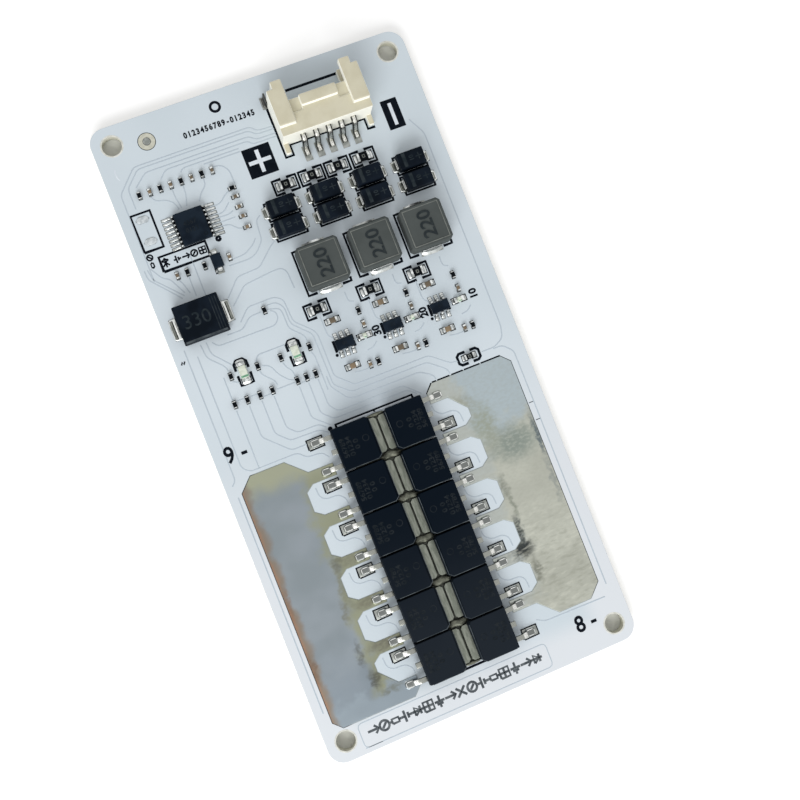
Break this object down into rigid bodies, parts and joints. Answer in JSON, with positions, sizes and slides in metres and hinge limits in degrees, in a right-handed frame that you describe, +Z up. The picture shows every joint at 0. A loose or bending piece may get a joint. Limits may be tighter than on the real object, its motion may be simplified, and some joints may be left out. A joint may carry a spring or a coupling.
{
  "type": "battery protection board",
  "caption": "White circuit board that protects a battery pack, with a side-entry cell connector, inductors, diodes and facing columns of power transistors beside bare tinned pads.",
  "frame": {"origin": "centre of the board's underside, on the surface it lies on", "axes": "+Z up out of the component side, +Y along the board towards the connector edge, +X towards the battery negative side"},
  "size_m": [0.05, 0.1, 0.0072],
  "materials": {
    "solder_mask": "satin white solder mask on glass-fibre laminate",
    "tinned_copper": "hot-tinned copper",
    "tin_plate": "bright tin plate",
    "black_epoxy": "fine matt moulding compound",
    "ivory_nylon": "satin moulded nylon",
    "grey_ferrite": "pressed metal powder, matt",
    "black_glaze": "glazed black film",
    "tan_ceramic": "fired ceramic",
    "clear_resin": "milky clear resin"
  },
  "bodies": {
    "root": {"balance_chip_1_body": "black_epoxy", "balance_chip_2_body": "black_epoxy", "balance_chip_3_body": "black_epoxy", "balance_chip_leads": "tin_plate", "battery_negative_pad": "tinned_copper", "cell_diode_lower_1": "black_epoxy", "cell_diode_lower_2": "black_epoxy", "cell_diode_lower_3": "black_epoxy", "cell_diode_lower_4": "black_epoxy", "cell_diode_straps": "tin_plate", "cell_diode_upper_1": "black_epoxy", "cell_diode_upper_2": "black_epoxy", "cell_diode_upper_3": "black_epoxy", "cell_diode_upper_4": "black_epoxy", "ceramic_capacitors": "tan_ceramic", "chip_end_caps": "tin_plate", "circuit_board": "solder_mask", "clamp_diode_body": "black_epoxy", "connector_hold_downs": "tin_plate", "connector_housing": "ivory_nylon", "connector_pins": "tin_plate", "drain_pad": "tinned_copper", "indicator_lamps": "clear_resin", "inductor_1_core": "grey_ferrite", "inductor_2_core": "grey_ferrite", "inductor_3_core": "grey_ferrite", "inductor_straps": "tin_plate", "large_resistors": "black_glaze", "load_negative_pad": "tinned_copper", "monitor_chip_body": "black_epoxy", "monitor_chip_leads": "tin_plate", "signal_lands": "tinned_copper", "small_resistors": "black_glaze", "supply_diode_body": "black_epoxy", "supply_diode_straps": "tin_plate", "transistor_left_1_body": "black_epoxy", "transistor_left_1_frame": "tin_plate", "transistor_left_2_body": "black_epoxy", "transistor_left_2_frame": "tin_plate", "transistor_left_3_body": "black_epoxy", "transistor_left_3_frame": "tin_plate", "transistor_left_4_body": "black_epoxy", "transistor_left_4_frame": "tin_plate", "transistor_left_5_body": "black_epoxy", "transistor_left_5_frame": "tin_plate", "transistor_left_6_body": "black_epoxy", "transistor_left_6_frame": "tin_plate", "transistor_right_1_body": "black_epoxy", "transistor_right_1_frame": "tin_plate", "transistor_right_2_body": "black_epoxy", "transistor_right_2_frame": "tin_plate", "transistor_right_3_body": "black_epoxy", "transistor_right_3_frame": "tin_plate", "transistor_right_4_body": "black_epoxy", "transistor_right_4_frame": "tin_plate", "transistor_right_5_body": "black_epoxy", "transistor_right_5_frame": "tin_plate", "transistor_right_6_body": "black_epoxy", "transistor_right_6_frame": "tin_plate"}
  },
  "joints": []
}
